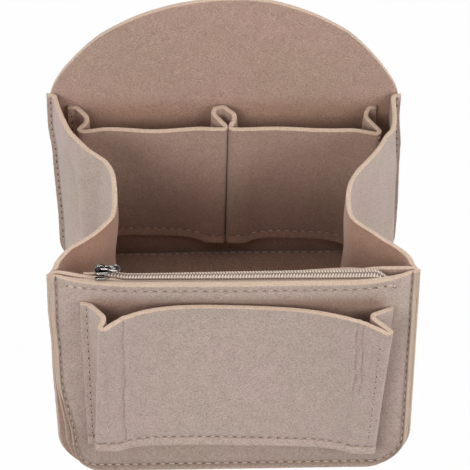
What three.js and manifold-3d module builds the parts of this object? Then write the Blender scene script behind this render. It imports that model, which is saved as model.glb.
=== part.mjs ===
// Felt organizer insert for a small backpack or handbag: an arched back panel and a leaning
// front wall joined by a base and two side gussets that fold inward, a zip pocket in the front
// wall, a pleated pocket in front of it and a pleated double pocket on the back panel.
// Millimetres, +Z up, front towards -Y, origin at the centre of the footprint.
import * as THREE from 'three';
import { mergeVertices } from 'three/addons/utils/BufferGeometryUtils.js';
import Module from 'manifold-3d';

// Felt and seams
const felt = 2.6;
const layerGap = 0.3;
const seamAllowance = 4.6;
const seamBend = 2.2;

// Walls
const frontWidth = 188;
const backWidth = 191;
const baseDepth = 149;
const frontHeight = 131;
const gussetRearHeight = 127.5;
const backHeight = 194.5;
const archRise = 82;
const cornerRadius = 20;
const frontLean = THREE.MathUtils.degToRad(11.25);
const backLean = THREE.MathUtils.degToRad(1.8);

// Side gussets: the height over which the fold opens from the base, how far it comes in on each
// side, and its line seen from above as share of the depth from the rear seam, share of the inset
const foldStartHeight = 9;
const foldFullHeight = 66;
const leftFold = {
  inset: 31,
  planShares: [
    [0, 0], [0.11, 0.14], [0.22, 0.29], [0.32, 0.57], [0.4, 0.87], [0.5, 1],
    [0.6, 0.98], [0.68, 0.93], [0.76, 0.75], [0.84, 0.48], [0.92, 0.13], [1, 0],
  ],
};
const rightFold = {
  inset: 26,
  planShares: [
    [0, 0], [0.11, 0.02], [0.2, 0.1], [0.3, 0.33], [0.4, 0.69], [0.5, 0.95],
    [0.59, 1], [0.67, 0.94], [0.74, 0.68], [0.82, 0.32], [0.91, 0.06], [1, 0],
  ],
};

// Zip pocket: how far the outer panel bows forward from the inner one at its top edge
const pocketBow = 8.5;
const bowFlatness = 8;
const bowFade = 1.6;
const bowSlantShare = 0.12;

// Zip
const tapeThickness = 0.7;
const tapeDepth = 8;
const tapeInset = 18;
const tapeBend = 0.8;
const tapeSlot = 1.1;
const chainInset = 26;
const toothPitch = 1.5;
const toothWidth = 0.56;
const toothReach = 0.45;
const coilWidth = 2.6;
const coilSpine = 1.2;
const coilHeight = 1.9;
const chainSetback = 2.9;

// Slider and pull
const sliderLength = 8;
const sliderWidth = 6.8;
const sliderTailWidth = 5;
const sliderCorner = 0.8;
const sliderPlate = 0.8;
const sliderLip = 0.45;
const sliderSetIn = 0.5;
const wedgeWidth = 1.5;
const wedgeLength = 2;
const bailWidth = 2;
const bailSpan = 6.4;
const bailRise = 3.2;
const bailBar = 1.1;
const pullLength = 10.5;
const pullWidth = 5.6;
const pullTipWidth = 4.2;
const pullThickness = 1.1;
const pullBar = 1.2;
const pullHoleLength = 3.4;
const pullHoleWidth = 3;
const pullCorner = 1;

// Pleated pockets: foot and top heights at the middle, how both run down towards the right for
// each millimetre, and for each side where the pleat is sewn on, its inner fold, its corner at the
// top, how far the face stands off there and over what length it comes back to rest
const outerPocket = {
  foot: 20.5, footSlope: -0.034, top: 119.5, topSlope: -0.035, rise: 3.5,
  flange: 4.2, rest: 1.3, footRelax: 9,
  left: {
    edge: 73.5, foldReach: 7, foldDepth: 14, cornerReach: 5.4, depth: 22, relax: 16,
    footReach: 11, footCorner: 1,
  },
  right: {
    edge: 79.5, foldReach: 10.5, foldDepth: 9.5, cornerReach: 1.6, depth: 22, relax: 23,
    footReach: 11, footCorner: 4,
  },
};
// Double pocket on the back panel, with a loop of the same felt between its halves
const innerPocket = {
  foot: 22.8, footSlope: -0.05, top: 118.5, topSlope: 0, rise: 0,
  flange: 4.2, rest: 16.7, footRelax: 7,
  left: {
    edge: 80.5, foldReach: 5.5, foldDepth: 11, cornerReach: 1.7, depth: 17.5, relax: 7,
    footReach: 8, footCorner: 1,
  },
  right: {
    edge: 80.5, foldReach: 5.3, foldDepth: 6.3, cornerReach: -2.5, depth: 22.5, relax: 20,
    footReach: 8, footCorner: 1,
  },
  loopFlat: 11.5,
};
// The loop at the pocket's top, seen from above: shares of the face's depth, left to right
const loopTopShares = [[-0.5, 0.45], [-0.45, 0.27], [-0.2, 0.19], [0.22, 0.5], [0.22, 0.66]];

// Steps of the curved sheets
const bendSteps = 3;
const foldSteps = 16;
const cornerSteps = 4;
const wallSteps = 7;
const pocketRows = 6;
const panelColumns = 20;
const panelRows = 8;
const archSteps = 16;
const metalSteps = 4;

const layer = felt + layerGap;
const seamRadius = cornerRadius - seamAllowance;
const frontHalf = frontWidth / 2;
const backHalf = backWidth / 2;
const tapeHalfLength = frontHalf - tapeInset;
const chainStart = chainInset - frontHalf;
const toothCount = Math.floor((tapeHalfLength - chainStart) / toothPitch);

const beigeFelt = new THREE.MeshStandardMaterial({ color: 0xb2a294, roughness: 0.95 });
const beigeTape = new THREE.MeshStandardMaterial({ color: 0xcdbba8, roughness: 0.8 });
const beigeNylon = new THREE.MeshStandardMaterial({ color: 0xd2c4b4, roughness: 0.45 });
const darkNickel = new THREE.MeshStandardMaterial({ color: 0x55524f, roughness: 0.3, metalness: 1 });

const organizer = new THREE.Group();
const frontWall = new THREE.Group();
frontWall.position.set(0, -baseDepth / 2, 0);
frontWall.rotation.x = -frontLean;
const backWall = new THREE.Group();
backWall.position.set(0, baseDepth / 2, 0);
backWall.rotation.x = -backLean;
organizer.add(frontWall, backWall);

function addPiece(parent, name, geometry, material) {
  const piece = new THREE.Mesh(geometry, material);
  piece.name = name;
  parent.add(piece);
  return piece;
}

// A closed sheet of even thickness about a grid of points on its middle surface
function sheetSolid(grid, thickness) {
  const rows = grid.length;
  const columns = grid[0].length;
  const positions = [];
  const along = new THREE.Vector3();
  const across = new THREE.Vector3();
  for (const side of [0.5, -0.5]) {
    for (let j = 0; j < rows; j++) {
      for (let i = 0; i < columns; i++) {
        along.subVectors(grid[j][Math.min(i + 1, columns - 1)], grid[j][Math.max(i - 1, 0)]);
        across.subVectors(grid[Math.min(j + 1, rows - 1)][i], grid[Math.max(j - 1, 0)][i]);
        const normal = new THREE.Vector3().crossVectors(along, across).normalize();
        positions.push(...normal.multiplyScalar(side * thickness).add(grid[j][i]).toArray());
      }
    }
  }
  const faces = [];
  const quad = (a, b, c, d) => faces.push(a, b, c, a, c, d);
  const upper = (i, j) => j * columns + i;
  const lower = (i, j) => rows * columns + upper(i, j);
  for (let j = 0; j < rows - 1; j++) {
    for (let i = 0; i < columns - 1; i++) {
      quad(upper(i, j), upper(i + 1, j), upper(i + 1, j + 1), upper(i, j + 1));
      quad(lower(i, j), lower(i, j + 1), lower(i + 1, j + 1), lower(i + 1, j));
    }
    quad(upper(0, j), upper(0, j + 1), lower(0, j + 1), lower(0, j));
    const end = columns - 1;
    quad(upper(end, j), lower(end, j), lower(end, j + 1), upper(end, j + 1));
  }
  for (let i = 0; i < columns - 1; i++) {
    quad(upper(i, 0), lower(i, 0), lower(i + 1, 0), upper(i + 1, 0));
    const last = rows - 1;
    quad(upper(i, last), upper(i + 1, last), lower(i + 1, last), lower(i, last));
  }
  const geometry = new THREE.BufferGeometry();
  geometry.setAttribute('position', new THREE.Float32BufferAttribute(positions, 3));
  geometry.setIndex(faces);
  geometry.computeVertexNormals();
  return geometry;
}

// A path through corners, each one rounded by a true arc that starts trim before it, apart from
// the stretch from plain[0] to plain[1] and its mirror image, whose points are kept as they are
function roundedPath(corners, trim, plain = [0, 0]) {
  const path = [corners[0]];
  for (let k = 1; k < corners.length - 1; k++) {
    const [before, corner, after] = [corners[k - 1], corners[k], corners[k + 1]];
    const fromEnd = Math.min(k, corners.length - 1 - k);
    if (fromEnd >= plain[0] && fromEnd < plain[1]) {
      path.push(corner);
      continue;
    }
    const inward = before.clone().sub(corner);
    const onward = after.clone().sub(corner);
    const reach = Math.min(trim, inward.length() / 2, onward.length() / 2);
    inward.setLength(reach);
    onward.setLength(reach);
    const weight = Math.sin(inward.angleTo(onward) / 2);
    for (let s = 0; s <= bendSteps; s++) {
      const t = s / bendSteps;
      const parts = [(1 - t) ** 2, 2 * weight * t * (1 - t), t ** 2];
      const total = parts[0] + parts[1] + parts[2];
      const point = corner.clone().addScaledVector(inward, parts[0] / total);
      path.push(point.addScaledVector(onward, parts[2] / total));
    }
  }
  path.push(corners[corners.length - 1]);
  return path;
}

const flat = (x, y) => new THREE.Vector2(x, y);

function extruded(outline, depth, curveSegments) {
  return new THREE.ExtrudeGeometry(outline, { depth, bevelEnabled: false, curveSegments });
}

// Panels

function roundedFootPanel(halfWidth, height) {
  const outline = new THREE.Shape();
  outline.moveTo(-halfWidth + cornerRadius, 0);
  outline.lineTo(halfWidth - cornerRadius, 0);
  outline.absarc(halfWidth - cornerRadius, cornerRadius, cornerRadius, -Math.PI / 2, 0);
  outline.lineTo(halfWidth, height);
  outline.lineTo(-halfWidth, height);
  outline.absarc(-halfWidth + cornerRadius, cornerRadius, cornerRadius, Math.PI, Math.PI * 1.5);
  return outline;
}

function archedPanel() {
  const archBase = backHeight - archRise;
  const outline = new THREE.Shape();
  outline.moveTo(-backHalf + cornerRadius, 0);
  outline.lineTo(backHalf - cornerRadius, 0);
  outline.absarc(backHalf - cornerRadius, cornerRadius, cornerRadius, -Math.PI / 2, 0);
  outline.lineTo(backHalf, archBase);
  outline.absellipse(0, archBase, backHalf, archRise, 0, Math.PI);
  outline.absarc(-backHalf + cornerRadius, cornerRadius, cornerRadius, Math.PI, Math.PI * 1.5);
  return outline;
}

// Extrudes an outline drawn upright, centred on the wall's middle plane
function uprightSheet(outline) {
  const geometry = extruded(outline, felt, archSteps);
  geometry.translate(0, 0, -felt / 2);
  geometry.rotateX(Math.PI / 2);
  return geometry;
}

// How far the outer panel stands off the inner one at a place on the wall
function bow(x, z) {
  const reach = frontHalf - seamAllowance;
  const share = Math.min(Math.abs(x) / reach, 1);
  const height = Math.min(Math.max(z / frontHeight, 0), 1);
  const slant = 1 + (bowSlantShare * x) / reach;
  return pocketBow * (1 - share ** bowFlatness) * slant * height ** bowFade;
}

function outerPanel() {
  const rows = [];
  const corner = cornerRadius;
  const heights = [];
  for (let k = 0; k <= cornerSteps; k++) {
    heights.push(corner * (1 - Math.cos((k / cornerSteps) * (Math.PI / 2))));
  }
  for (let k = 1; k <= panelRows; k++) {
    heights.push(corner + ((frontHeight - corner) * k) / panelRows);
  }
  for (const z of heights) {
    const short = Math.max(corner - z, 0);
    const half = frontHalf - corner + Math.sqrt(corner ** 2 - short ** 2);
    const row = [];
    for (let i = 0; i <= panelColumns; i++) {
      const x = -half * Math.cos((Math.PI * i) / panelColumns);
      row.push(new THREE.Vector3(x, -layer - bow(x, z), z));
    }
    rows.push(row);
  }
  return sheetSolid(rows, felt);
}

// Base and gussets: one strip that runs down a side, round the corner and across the base.
// across gives its section from the rear flange to the front one: how far out from the seam
// line, the share of the depth, and what is added to the depth there.
const rearPlane = (z) => baseDepth / 2 + z * Math.tan(backLean) - layer / Math.cos(backLean);
const frontPlane = (z) => -baseDepth / 2 + z * Math.tan(frontLean) + layer / Math.cos(frontLean);

function seamCorner(depth, direction) {
  const bend = [];
  for (let s = 0; s <= bendSteps; s++) {
    const turn = (s / bendSteps) * (Math.PI / 2);
    const out = seamBend * (1 - Math.sin(turn));
    bend.push({ out, depth, shift: direction * seamBend * (1 - Math.cos(turn)) });
  }
  return bend;
}

function stripSection(side, foldShare) {
  const { inset, planShares } = side < 0 ? leftFold : rightFold;
  const plan = new THREE.SplineCurve(planShares.map(([depth, share]) => flat(depth, share)));
  const fold = [];
  for (let s = 1; s < foldSteps; s++) {
    const { x: depth, y: share } = plan.getPoint(s / foldSteps);
    fold.push({ out: -inset * foldShare * share, depth, shift: seamBend * (2 * depth - 1) });
  }
  const rearFlange = { out: seamAllowance, depth: 0, shift: 0 };
  const frontFlange = { out: seamAllowance, depth: 1, shift: 0 };
  return [rearFlange, ...seamCorner(0, -1), ...fold, ...seamCorner(1, 1).reverse(), frontFlange];
}

function stripRow(section, place) {
  return section.map(({ out, depth, shift }) => {
    const half = THREE.MathUtils.lerp(backHalf, frontHalf, depth);
    const { x, z } = place(half, out, depth);
    return new THREE.Vector3(x, THREE.MathUtils.lerp(rearPlane(z), frontPlane(z), depth) + shift, z);
  });
}

function gusset(side) {
  const rows = [];
  for (let k = 0; k <= cornerSteps; k++) {
    const turn = (k / cornerSteps) * (Math.PI / 2);
    const section = stripSection(side, foldOpening(cornerRadius - seamRadius * Math.cos(turn)));
    rows.push(stripRow(section, (half, out) => ({
      x: side * (half - cornerRadius + (seamRadius + out) * Math.sin(turn)),
      z: cornerRadius - (seamRadius + out) * Math.cos(turn),
    })));
  }
  const rearTop = gussetRearHeight * Math.cos(backLean);
  const frontTop = frontHeight * Math.cos(frontLean);
  for (let k = 1; k <= wallSteps; k++) {
    const share = k / wallSteps;
    const height = THREE.MathUtils.lerp(cornerRadius, gussetRearHeight, share);
    const section = stripSection(side, foldOpening(height));
    rows.push(stripRow(section, (half, out, depth) => ({
      x: side * (half - seamAllowance + out),
      z: THREE.MathUtils.lerp(cornerRadius, THREE.MathUtils.lerp(rearTop, frontTop, depth), share),
    })));
  }
  if (side < 0) rows.reverse();
  return sheetSolid(rows, felt);
}

function foldOpening(height) {
  return THREE.MathUtils.smoothstep(height, foldStartHeight, foldFullHeight);
}

function basePanel() {
  const rows = [];
  for (const side of [-1, 0, 1]) {
    rows.push(stripRow(stripSection(side, 0), (half, out) => ({
      x: side * (half - cornerRadius - layerGap),
      z: seamAllowance - out,
    })));
  }
  return sheetSolid(rows, felt);
}

// Pleated pockets: the felt's line seen from above, at the pocket's top or along its stitched
// foot, as points (x from the middle, distance in front of the wall's middle plane)

// One side pleat, from its flange to the corner where the pocket's face starts
function sidePleat(flange, side, atTop) {
  const start = [flat(-side.edge - flange, layer), flat(-side.edge, layer)];
  if (!atTop) {
    const stacked = layer - side.edge + side.footReach;
    const corner = side.footCorner - side.edge;
    const layers = [flat(stacked, layer), flat(stacked, 2 * layer), flat(corner, 2 * layer)];
    return [...start, ...layers, flat(corner, 3 * layer)];
  }
  const fold = side.foldReach - side.edge;
  const corner = side.cornerReach - side.edge;
  const back = side.foldDepth - felt / 2;
  const ahead = side.foldDepth + felt / 2;
  const turned = corner + layer * Math.SQRT1_2;
  const spread = [flat(fold, back), flat(fold, ahead), flat(corner, side.depth - layer / 2)];
  return [...start, ...spread, flat(turned, side.depth)];
}

// Shares of the face's half width where its curve is sampled, closer together by the pleat
const faceShares = [0.06, 0.13, 0.22, 0.34, 0.5, 0.7];

function faceDepth(pocket, x, starts, atTop) {
  const fromLeft = x - starts[0];
  const fromRight = starts[1] - x;
  if (!atTop) {
    const byLoop = pocket.loopFlat ? Math.exp(-Math.abs(x) / pocket.footRelax) : 0;
    const byPleat = Math.exp(-Math.min(fromLeft, fromRight) / pocket.footRelax);
    return layer + 2 * layer * Math.min(byPleat + byLoop, 1);
  }
  const middle = pocket.loopFlat ? pocket.rest : layer + pocket.rest;
  const byLeft = (pocket.left.depth - middle) * Math.exp(-fromLeft / pocket.left.relax);
  const byRight = (pocket.right.depth - middle) * Math.exp(-fromRight / pocket.right.relax);
  return middle + byLeft + byRight;
}

function mirrored(points) {
  return points.map((point) => flat(-point.x, point.y)).reverse();
}

function pocketLine(pocket, atTop) {
  const left = sidePleat(pocket.flange, pocket.left, atTop);
  const right = mirrored(sidePleat(pocket.flange, pocket.right, atTop));
  const starts = [left[left.length - 1].x, right[0].x];
  const loopEdge = pocket.loopFlat ? layer / 2 : 0;
  const at = (x) => flat(x, faceDepth(pocket, x, starts, atTop));
  const leftFace = faceShares.map((share) => at(THREE.MathUtils.lerp(starts[0], -loopEdge, share)));
  const rightFace = faceShares.map((share) => at(THREE.MathUtils.lerp(starts[1], loopEdge, share)));
  const middle = pocket.loopFlat ? loopLine(pocket, atTop) : [at(0)];
  return [...left, ...leftFace, ...middle, ...rightFace.reverse(), ...right];
}

function loopLine(pocket, atTop) {
  const edge = layer / 2;
  const front = atTop ? pocket.rest : 3 * layer;
  const behind = front - layer;
  const left = [flat(-edge, front), flat(-edge, behind)];
  const right = [flat(edge, behind), flat(edge, front)];
  if (atTop) {
    const loop = loopTopShares.map(([x, y]) => flat(x * pocket.rest, y * pocket.rest));
    return [...left, ...loop, ...right];
  }
  const reach = pocket.loopFlat;
  const leftFold = [flat(-reach, 2 * layer), flat(-reach, layer)];
  const rightFold = [flat(reach, layer), flat(reach, 2 * layer)];
  return [...left, ...leftFold, flat(0, layer), ...rightFold, ...right];
}

// What a point of the top loses in height: the droop of the corners, and what leaning out costs
function pocketDroop(pocket, x, depth) {
  const side = x < 0 ? pocket.left : pocket.right;
  const corners = pocket.rise * Math.min(Math.abs(x) / side.edge, 1) ** 3;
  return corners + (depth - layer) ** 2 / (2 * (pocket.top - pocket.foot));
}

function pleatedPocket(pocket, standOff) {
  const top = pocketLine(pocket, true);
  const foot = pocketLine(pocket, false);
  const faceStart = sidePleat(pocket.flange, pocket.left, true).length;
  const face = [faceStart, faceStart + faceShares.length];
  const rows = [];
  for (let j = 0; j <= pocketRows; j++) {
    const share = j / pocketRows;
    const corners = foot.map((point, k) => point.clone().lerp(top[k], share));
    rows.push(roundedPath(corners, layer / 2, face).map((point) => {
      const footZ = pocket.foot + pocket.footSlope * point.x;
      const topZ = pocket.top + pocket.topSlope * point.x - pocketDroop(pocket, point.x, point.y);
      const z = THREE.MathUtils.lerp(footZ, topZ, share);
      return new THREE.Vector3(point.x, -standOff(point.x, z) - point.y, z);
    }));
  }
  return sheetSolid(rows, felt);
}

// Zip: heights above the wall's foot, with room for the slider's lower plate under the tape
const tapeFoot = frontHeight + layerGap + sliderPlate + layerGap;
const coilFoot = tapeFoot + tapeThickness + layerGap;
const coilTop = coilFoot + coilHeight;
const tapeMiddle = tapeFoot + tapeThickness / 2;
const chainY = -chainSetback;

function tapeSheet(places, columnOf) {
  const rows = places.map((x) => {
    return roundedPath(columnOf(x), tapeBend).map((point) => new THREE.Vector3(x, point.x, point.y));
  });
  return sheetSolid(rows, tapeThickness);
}

function rearTape() {
  const behind = felt / 2 + layerGap + tapeThickness / 2;
  return tapeSheet([tapeHalfLength, -tapeHalfLength], () => [
    flat(chainY + tapeSlot, tapeMiddle),
    flat(behind, tapeMiddle),
    flat(behind, frontHeight - tapeDepth),
  ]);
}

function frontTape() {
  const places = [];
  for (let i = 0; i <= panelColumns; i++) {
    places.push(tapeHalfLength * ((2 * i) / panelColumns - 1));
  }
  const inside = layer - felt / 2 - layerGap - tapeThickness / 2;
  return tapeSheet(places, (x) => [
    flat(chainY - tapeSlot, tapeMiddle),
    flat(-inside - bow(x, frontHeight), tapeMiddle),
    flat(-inside - bow(x, frontHeight - tapeDepth), frontHeight - tapeDepth),
  ]);
}

// One row of interlocking coil turns: a spine on the tape with a tooth for each turn
function coilRow(side, offset) {
  const outline = new THREE.Shape();
  const inner = coilWidth - coilSpine;
  const first = chainStart + offset;
  const end = first + toothCount * toothPitch;
  outline.moveTo(first, side * coilWidth);
  outline.lineTo(first, side * inner);
  for (let k = 0; k < toothCount; k++) {
    const middle = first + (k + 0.5) * toothPitch;
    outline.lineTo(middle - toothWidth / 2, side * inner);
    outline.lineTo(middle - toothWidth / 2, -side * toothReach);
    outline.lineTo(middle + toothWidth / 2, -side * toothReach);
    outline.lineTo(middle + toothWidth / 2, side * inner);
  }
  outline.lineTo(end, side * inner);
  outline.lineTo(end, side * coilWidth);
  const geometry = extruded(outline, coilHeight, 1);
  geometry.translate(0, chainY, coilFoot);
  return geometry;
}

// Slider, drawn about the middle of the chain with z = 0 at the top of its upper plate
const wasm = await Module();
wasm.setup();

function toManifold(geometry) {
  geometry.deleteAttribute('normal');
  geometry.deleteAttribute('uv');
  const merged = mergeVertices(geometry);
  return new wasm.Manifold(new wasm.Mesh({
    numProp: 3,
    vertProperties: new Float32Array(merged.attributes.position.array),
    triVerts: new Uint32Array(merged.index.array),
  }));
}

function toGeometry(manifold) {
  const mesh = manifold.getMesh();
  const geometry = new THREE.BufferGeometry();
  geometry.setAttribute('position', new THREE.BufferAttribute(mesh.vertProperties, 3));
  geometry.setIndex(new THREE.BufferAttribute(mesh.triVerts, 1));
  geometry.computeVertexNormals();
  return geometry;
}

const sliderTop = coilTop + layerGap + sliderPlate;
const channel = sliderTop - sliderPlate - (tapeFoot - layerGap);
const lipFoot = coilFoot - sliderTop;

// Plate outline: wide shoulders at the leading end, a narrower tail where the chain leaves
function sliderOutline() {
  const [nose, tail] = [-sliderLength / 2, sliderLength / 2];
  const wide = sliderWidth / 2;
  const narrow = sliderTailWidth / 2;
  const outline = new THREE.Shape();
  outline.moveTo(nose + sliderCorner, -wide);
  outline.lineTo(0, -wide);
  outline.quadraticCurveTo(tail - sliderCorner, -wide, tail, -narrow);
  outline.lineTo(tail, narrow);
  outline.quadraticCurveTo(tail - sliderCorner, wide, 0, wide);
  outline.lineTo(nose + sliderCorner, wide);
  outline.quadraticCurveTo(nose, wide, nose, wide - sliderCorner);
  outline.quadraticCurveTo(nose + sliderCorner, 0, nose, -wide + sliderCorner);
  outline.quadraticCurveTo(nose, -wide, nose + sliderCorner, -wide);
  return outline;
}

function slab(outline, foot, height) {
  const geometry = extruded(outline, height, metalSteps);
  geometry.translate(0, 0, foot);
  return toManifold(geometry);
}

function sliderLips() {
  const lips = [-1, 1].map((side) => {
    const lip = new THREE.BoxGeometry(sliderLength / 2, sliderLip, -lipFoot);
    lip.translate(sliderCorner - sliderLength / 4, side * (sliderWidth - sliderLip) / 2, lipFoot / 2);
    return toManifold(lip);
  });
  return lips[0].add(lips[1]);
}

function sliderWedge() {
  const nose = sliderCorner - sliderLength / 2;
  const outline = new THREE.Shape();
  outline.moveTo(nose, 0);
  outline.lineTo(nose + wedgeLength / 2, -wedgeWidth / 2);
  outline.lineTo(nose + wedgeLength, 0);
  outline.lineTo(nose + wedgeLength / 2, wedgeWidth / 2);
  return slab(outline, -sliderPlate - channel - sliderPlate / 2, channel + sliderPlate);
}

function sliderBail() {
  const half = bailSpan / 2;
  const arch = new THREE.Shape();
  arch.moveTo(-half, -sliderPlate / 2);
  arch.lineTo(-half, bailRise / 2);
  arch.quadraticCurveTo(-half, bailRise, 0, bailRise);
  arch.quadraticCurveTo(half, bailRise, half, bailRise / 2);
  arch.lineTo(half, -sliderPlate / 2);
  arch.lineTo(half - bailBar, -sliderPlate / 2);
  arch.lineTo(half - bailBar, bailRise / 2);
  arch.quadraticCurveTo(half - bailBar, bailRise - bailBar, 0, bailRise - bailBar);
  arch.quadraticCurveTo(-half + bailBar, bailRise - bailBar, -half + bailBar, bailRise / 2);
  arch.lineTo(-half + bailBar, -sliderPlate / 2);
  const geometry = extruded(arch, bailWidth, metalSteps);
  geometry.translate(0, 0, -bailWidth / 2);
  geometry.rotateX(Math.PI / 2);
  return toManifold(geometry);
}

function sliderBody() {
  const upper = slab(sliderOutline(), -sliderPlate, sliderPlate);
  const lower = slab(sliderOutline(), -2 * sliderPlate - channel, sliderPlate);
  return toGeometry(upper.add(lower).add(sliderWedge()).add(sliderLips()).add(sliderBail()));
}

// Pull, drawn about its hinge line in the bail, lying back over the chain
function pullTab() {
  const outline = new THREE.Shape();
  const near = -pullBar / 2;
  const far = near + pullLength;
  const wide = pullWidth / 2;
  const tip = pullTipWidth / 2;
  outline.moveTo(near + pullCorner, -wide);
  outline.lineTo(far - pullCorner, -tip);
  outline.quadraticCurveTo(far, -tip, far, -tip + pullCorner);
  outline.lineTo(far, tip - pullCorner);
  outline.quadraticCurveTo(far, tip, far - pullCorner, tip);
  outline.lineTo(near + pullCorner, wide);
  outline.quadraticCurveTo(near, wide, near, wide - pullCorner);
  outline.lineTo(near, -wide + pullCorner);
  outline.quadraticCurveTo(near, -wide, near + pullCorner, -wide);
  const hole = new THREE.Path();
  const half = pullHoleWidth / 2;
  hole.moveTo(pullBar / 2, -half);
  hole.lineTo(pullBar / 2, half);
  hole.lineTo(pullBar / 2 + pullHoleLength, half);
  hole.lineTo(pullBar / 2 + pullHoleLength, -half);
  hole.lineTo(pullBar / 2, -half);
  outline.holes.push(hole);
  const geometry = extruded(outline, pullThickness, metalSteps);
  geometry.translate(0, 0, -pullThickness / 2);
  return geometry;
}

// Assembly
addPiece(backWall, 'back_panel', uprightSheet(archedPanel()), beigeFelt);
addPiece(backWall, 'inner_pocket', pleatedPocket(innerPocket, () => 0), beigeFelt);
addPiece(organizer, 'left_gusset', gusset(-1), beigeFelt);
addPiece(organizer, 'right_gusset', gusset(1), beigeFelt);
addPiece(organizer, 'base_panel', basePanel(), beigeFelt);
addPiece(frontWall, 'front_inner_panel', uprightSheet(roundedFootPanel(frontHalf, frontHeight)), beigeFelt);
addPiece(frontWall, 'front_panel', outerPanel(), beigeFelt);
addPiece(frontWall, 'outer_pocket', pleatedPocket(outerPocket, (x, z) => layer + bow(x, z)), beigeFelt);
addPiece(frontWall, 'zip_tape_rear', rearTape(), beigeTape);
addPiece(frontWall, 'zip_tape_front', frontTape(), beigeTape);
addPiece(frontWall, 'zip_coil_rear', coilRow(1, 0), beigeNylon);
addPiece(frontWall, 'zip_coil_front', coilRow(-1, toothPitch / 2), beigeNylon);
const slider = addPiece(frontWall, 'zip_slider', sliderBody(), darkNickel);
slider.position.set(chainStart + sliderSetIn, chainY, sliderTop);
const pull = addPiece(slider, 'zip_pull', pullTab(), darkNickel);
pull.position.set(0, 0, layerGap + pullThickness / 2);

const bounds = new THREE.Box3().setFromObject(organizer, true);
const middle = bounds.getCenter(new THREE.Vector3());
organizer.position.set(-middle.x, -middle.y, -bounds.min.z);

export default organizer;
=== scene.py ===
# Felt organizer insert for a small bag: arched back panel, leaning front wall with a zip pocket,
# pleated pockets and side gussets that fold inward. Shapes are worked out in millimetres in the
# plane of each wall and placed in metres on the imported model.
import math

import bpy
import numpy as np
from mathutils import Matrix, Vector
from mathutils.bvhtree import BVHTree


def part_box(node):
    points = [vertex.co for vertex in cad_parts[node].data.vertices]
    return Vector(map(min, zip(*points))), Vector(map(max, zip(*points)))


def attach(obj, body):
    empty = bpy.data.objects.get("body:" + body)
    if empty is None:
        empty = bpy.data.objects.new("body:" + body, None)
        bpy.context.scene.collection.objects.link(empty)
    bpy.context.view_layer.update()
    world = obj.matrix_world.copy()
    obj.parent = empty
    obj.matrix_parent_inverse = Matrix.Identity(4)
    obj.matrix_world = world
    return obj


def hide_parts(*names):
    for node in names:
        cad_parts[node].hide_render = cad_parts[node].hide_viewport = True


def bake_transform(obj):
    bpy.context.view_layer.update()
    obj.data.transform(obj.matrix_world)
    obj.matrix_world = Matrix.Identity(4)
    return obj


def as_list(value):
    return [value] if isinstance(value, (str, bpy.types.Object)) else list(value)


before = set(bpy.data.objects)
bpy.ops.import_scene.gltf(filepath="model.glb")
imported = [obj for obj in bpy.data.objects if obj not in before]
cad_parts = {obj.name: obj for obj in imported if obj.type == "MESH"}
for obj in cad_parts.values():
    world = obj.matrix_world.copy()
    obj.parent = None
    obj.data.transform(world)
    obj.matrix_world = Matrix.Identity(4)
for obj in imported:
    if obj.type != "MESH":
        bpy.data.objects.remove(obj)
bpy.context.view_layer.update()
mm = 0.001
quarter = math.pi / 2
rng = np.random.default_rng(11)
print("model loaded")

# Camera, in degrees, metres and pixels, with its sensor in millimetres

view = {
    "elevation": 47.588, "yaw": -2.925, "roll": 1.439, "distance": 1.3655,
    "target": (0.001349, -0.011018, 0.113535), "focal": 2629.4, "image": 470, "sensor": 36,
}


def addCamera():
    data = bpy.data.cameras.new("camera")
    data.sensor_width = view["sensor"]
    data.lens = view["sensor"] * view["focal"] / view["image"]
    data.clip_end = 20
    camera = bpy.data.objects.new("camera", data)
    bpy.context.scene.collection.objects.link(camera)
    place = Matrix.Translation(view["target"])
    for axis, angle in (("Z", view["yaw"]), ("X", 90 - view["elevation"]), ("Z", view["roll"])):
        place = place @ Matrix.Rotation(math.radians(angle), 4, axis)
    camera.matrix_world = place @ Matrix.Translation((0, 0, view["distance"]))
    bpy.context.scene.camera = camera


addCamera()

# Walls and seams, in millimetres and degrees. A wall's own x runs to the right, its y backwards
# from the wall's middle plane and its z up along the wall.

walls = {
    "baseDepth": 149, "frontLean": 11.25, "backLean": 1.8, "frontHeight": 131, "backHeight": 194.5,
    "frontHalf": 94, "backHalf": 95.5, "archRise": 82, "corner": 20, "felt": 2.6, "layer": 2.9,
    "seam": 4.6, "seamBend": 2.2, "seamAt": 4.4, "pocketSeam": 5.3,
}
felt, layer, seam, corner = walls["felt"], walls["layer"], walls["seam"], walls["corner"]
frontHeight, backHeight, archRise = walls["frontHeight"], walls["backHeight"], walls["archRise"]
frontHalf, backHalf, halfDepth = walls["frontHalf"], walls["backHalf"], walls["baseDepth"] / 2
frontLean, backLean = math.radians(walls["frontLean"]), math.radians(walls["backLean"])
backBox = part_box("back_panel")
originZ = backBox[0].z / mm + felt / 2 * math.sin(backLean)
originY = backBox[1].y / mm - halfDepth - felt / 2 * math.cos(backLean) - backHeight * math.sin(backLean)


def ease(value, low, high):
    t = np.clip((np.asarray(value, float) - low) / (high - low), 0, 1)
    return t * t * (3 - 2 * t)


# How far the soft walls lean to the right of their flat pattern
def sway(x, y, z):
    front, left, right = ease(y, 40, -40), ease(-x, 55, 94), ease(x, 55, 94)
    frontLeft = 1.8 * ease(z, 75, 15) - 1.1 * ease(z, 80, 105) + 2.4 * ease(z, 22, 0)
    frontRight = -1.3 * ease(z, 20, 0)
    rearLeft = 1.9 * ease(z, 95, 30) - 1.7 * ease(z, 88, 112) * ease(z, 160, 135)
    rearRight = 1.2 * ease(z, 85, 40) - 2.0 * ease(z, 90, 116) * ease(z, 165, 135)
    arch = -4.6 * ease(z, 128, 160) * ease(x, -10, 45)
    rear = left * rearLeft + right * rearRight + arch
    return front * (left * frontLeft + right * frontRight) + (1 - front) * rear


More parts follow.
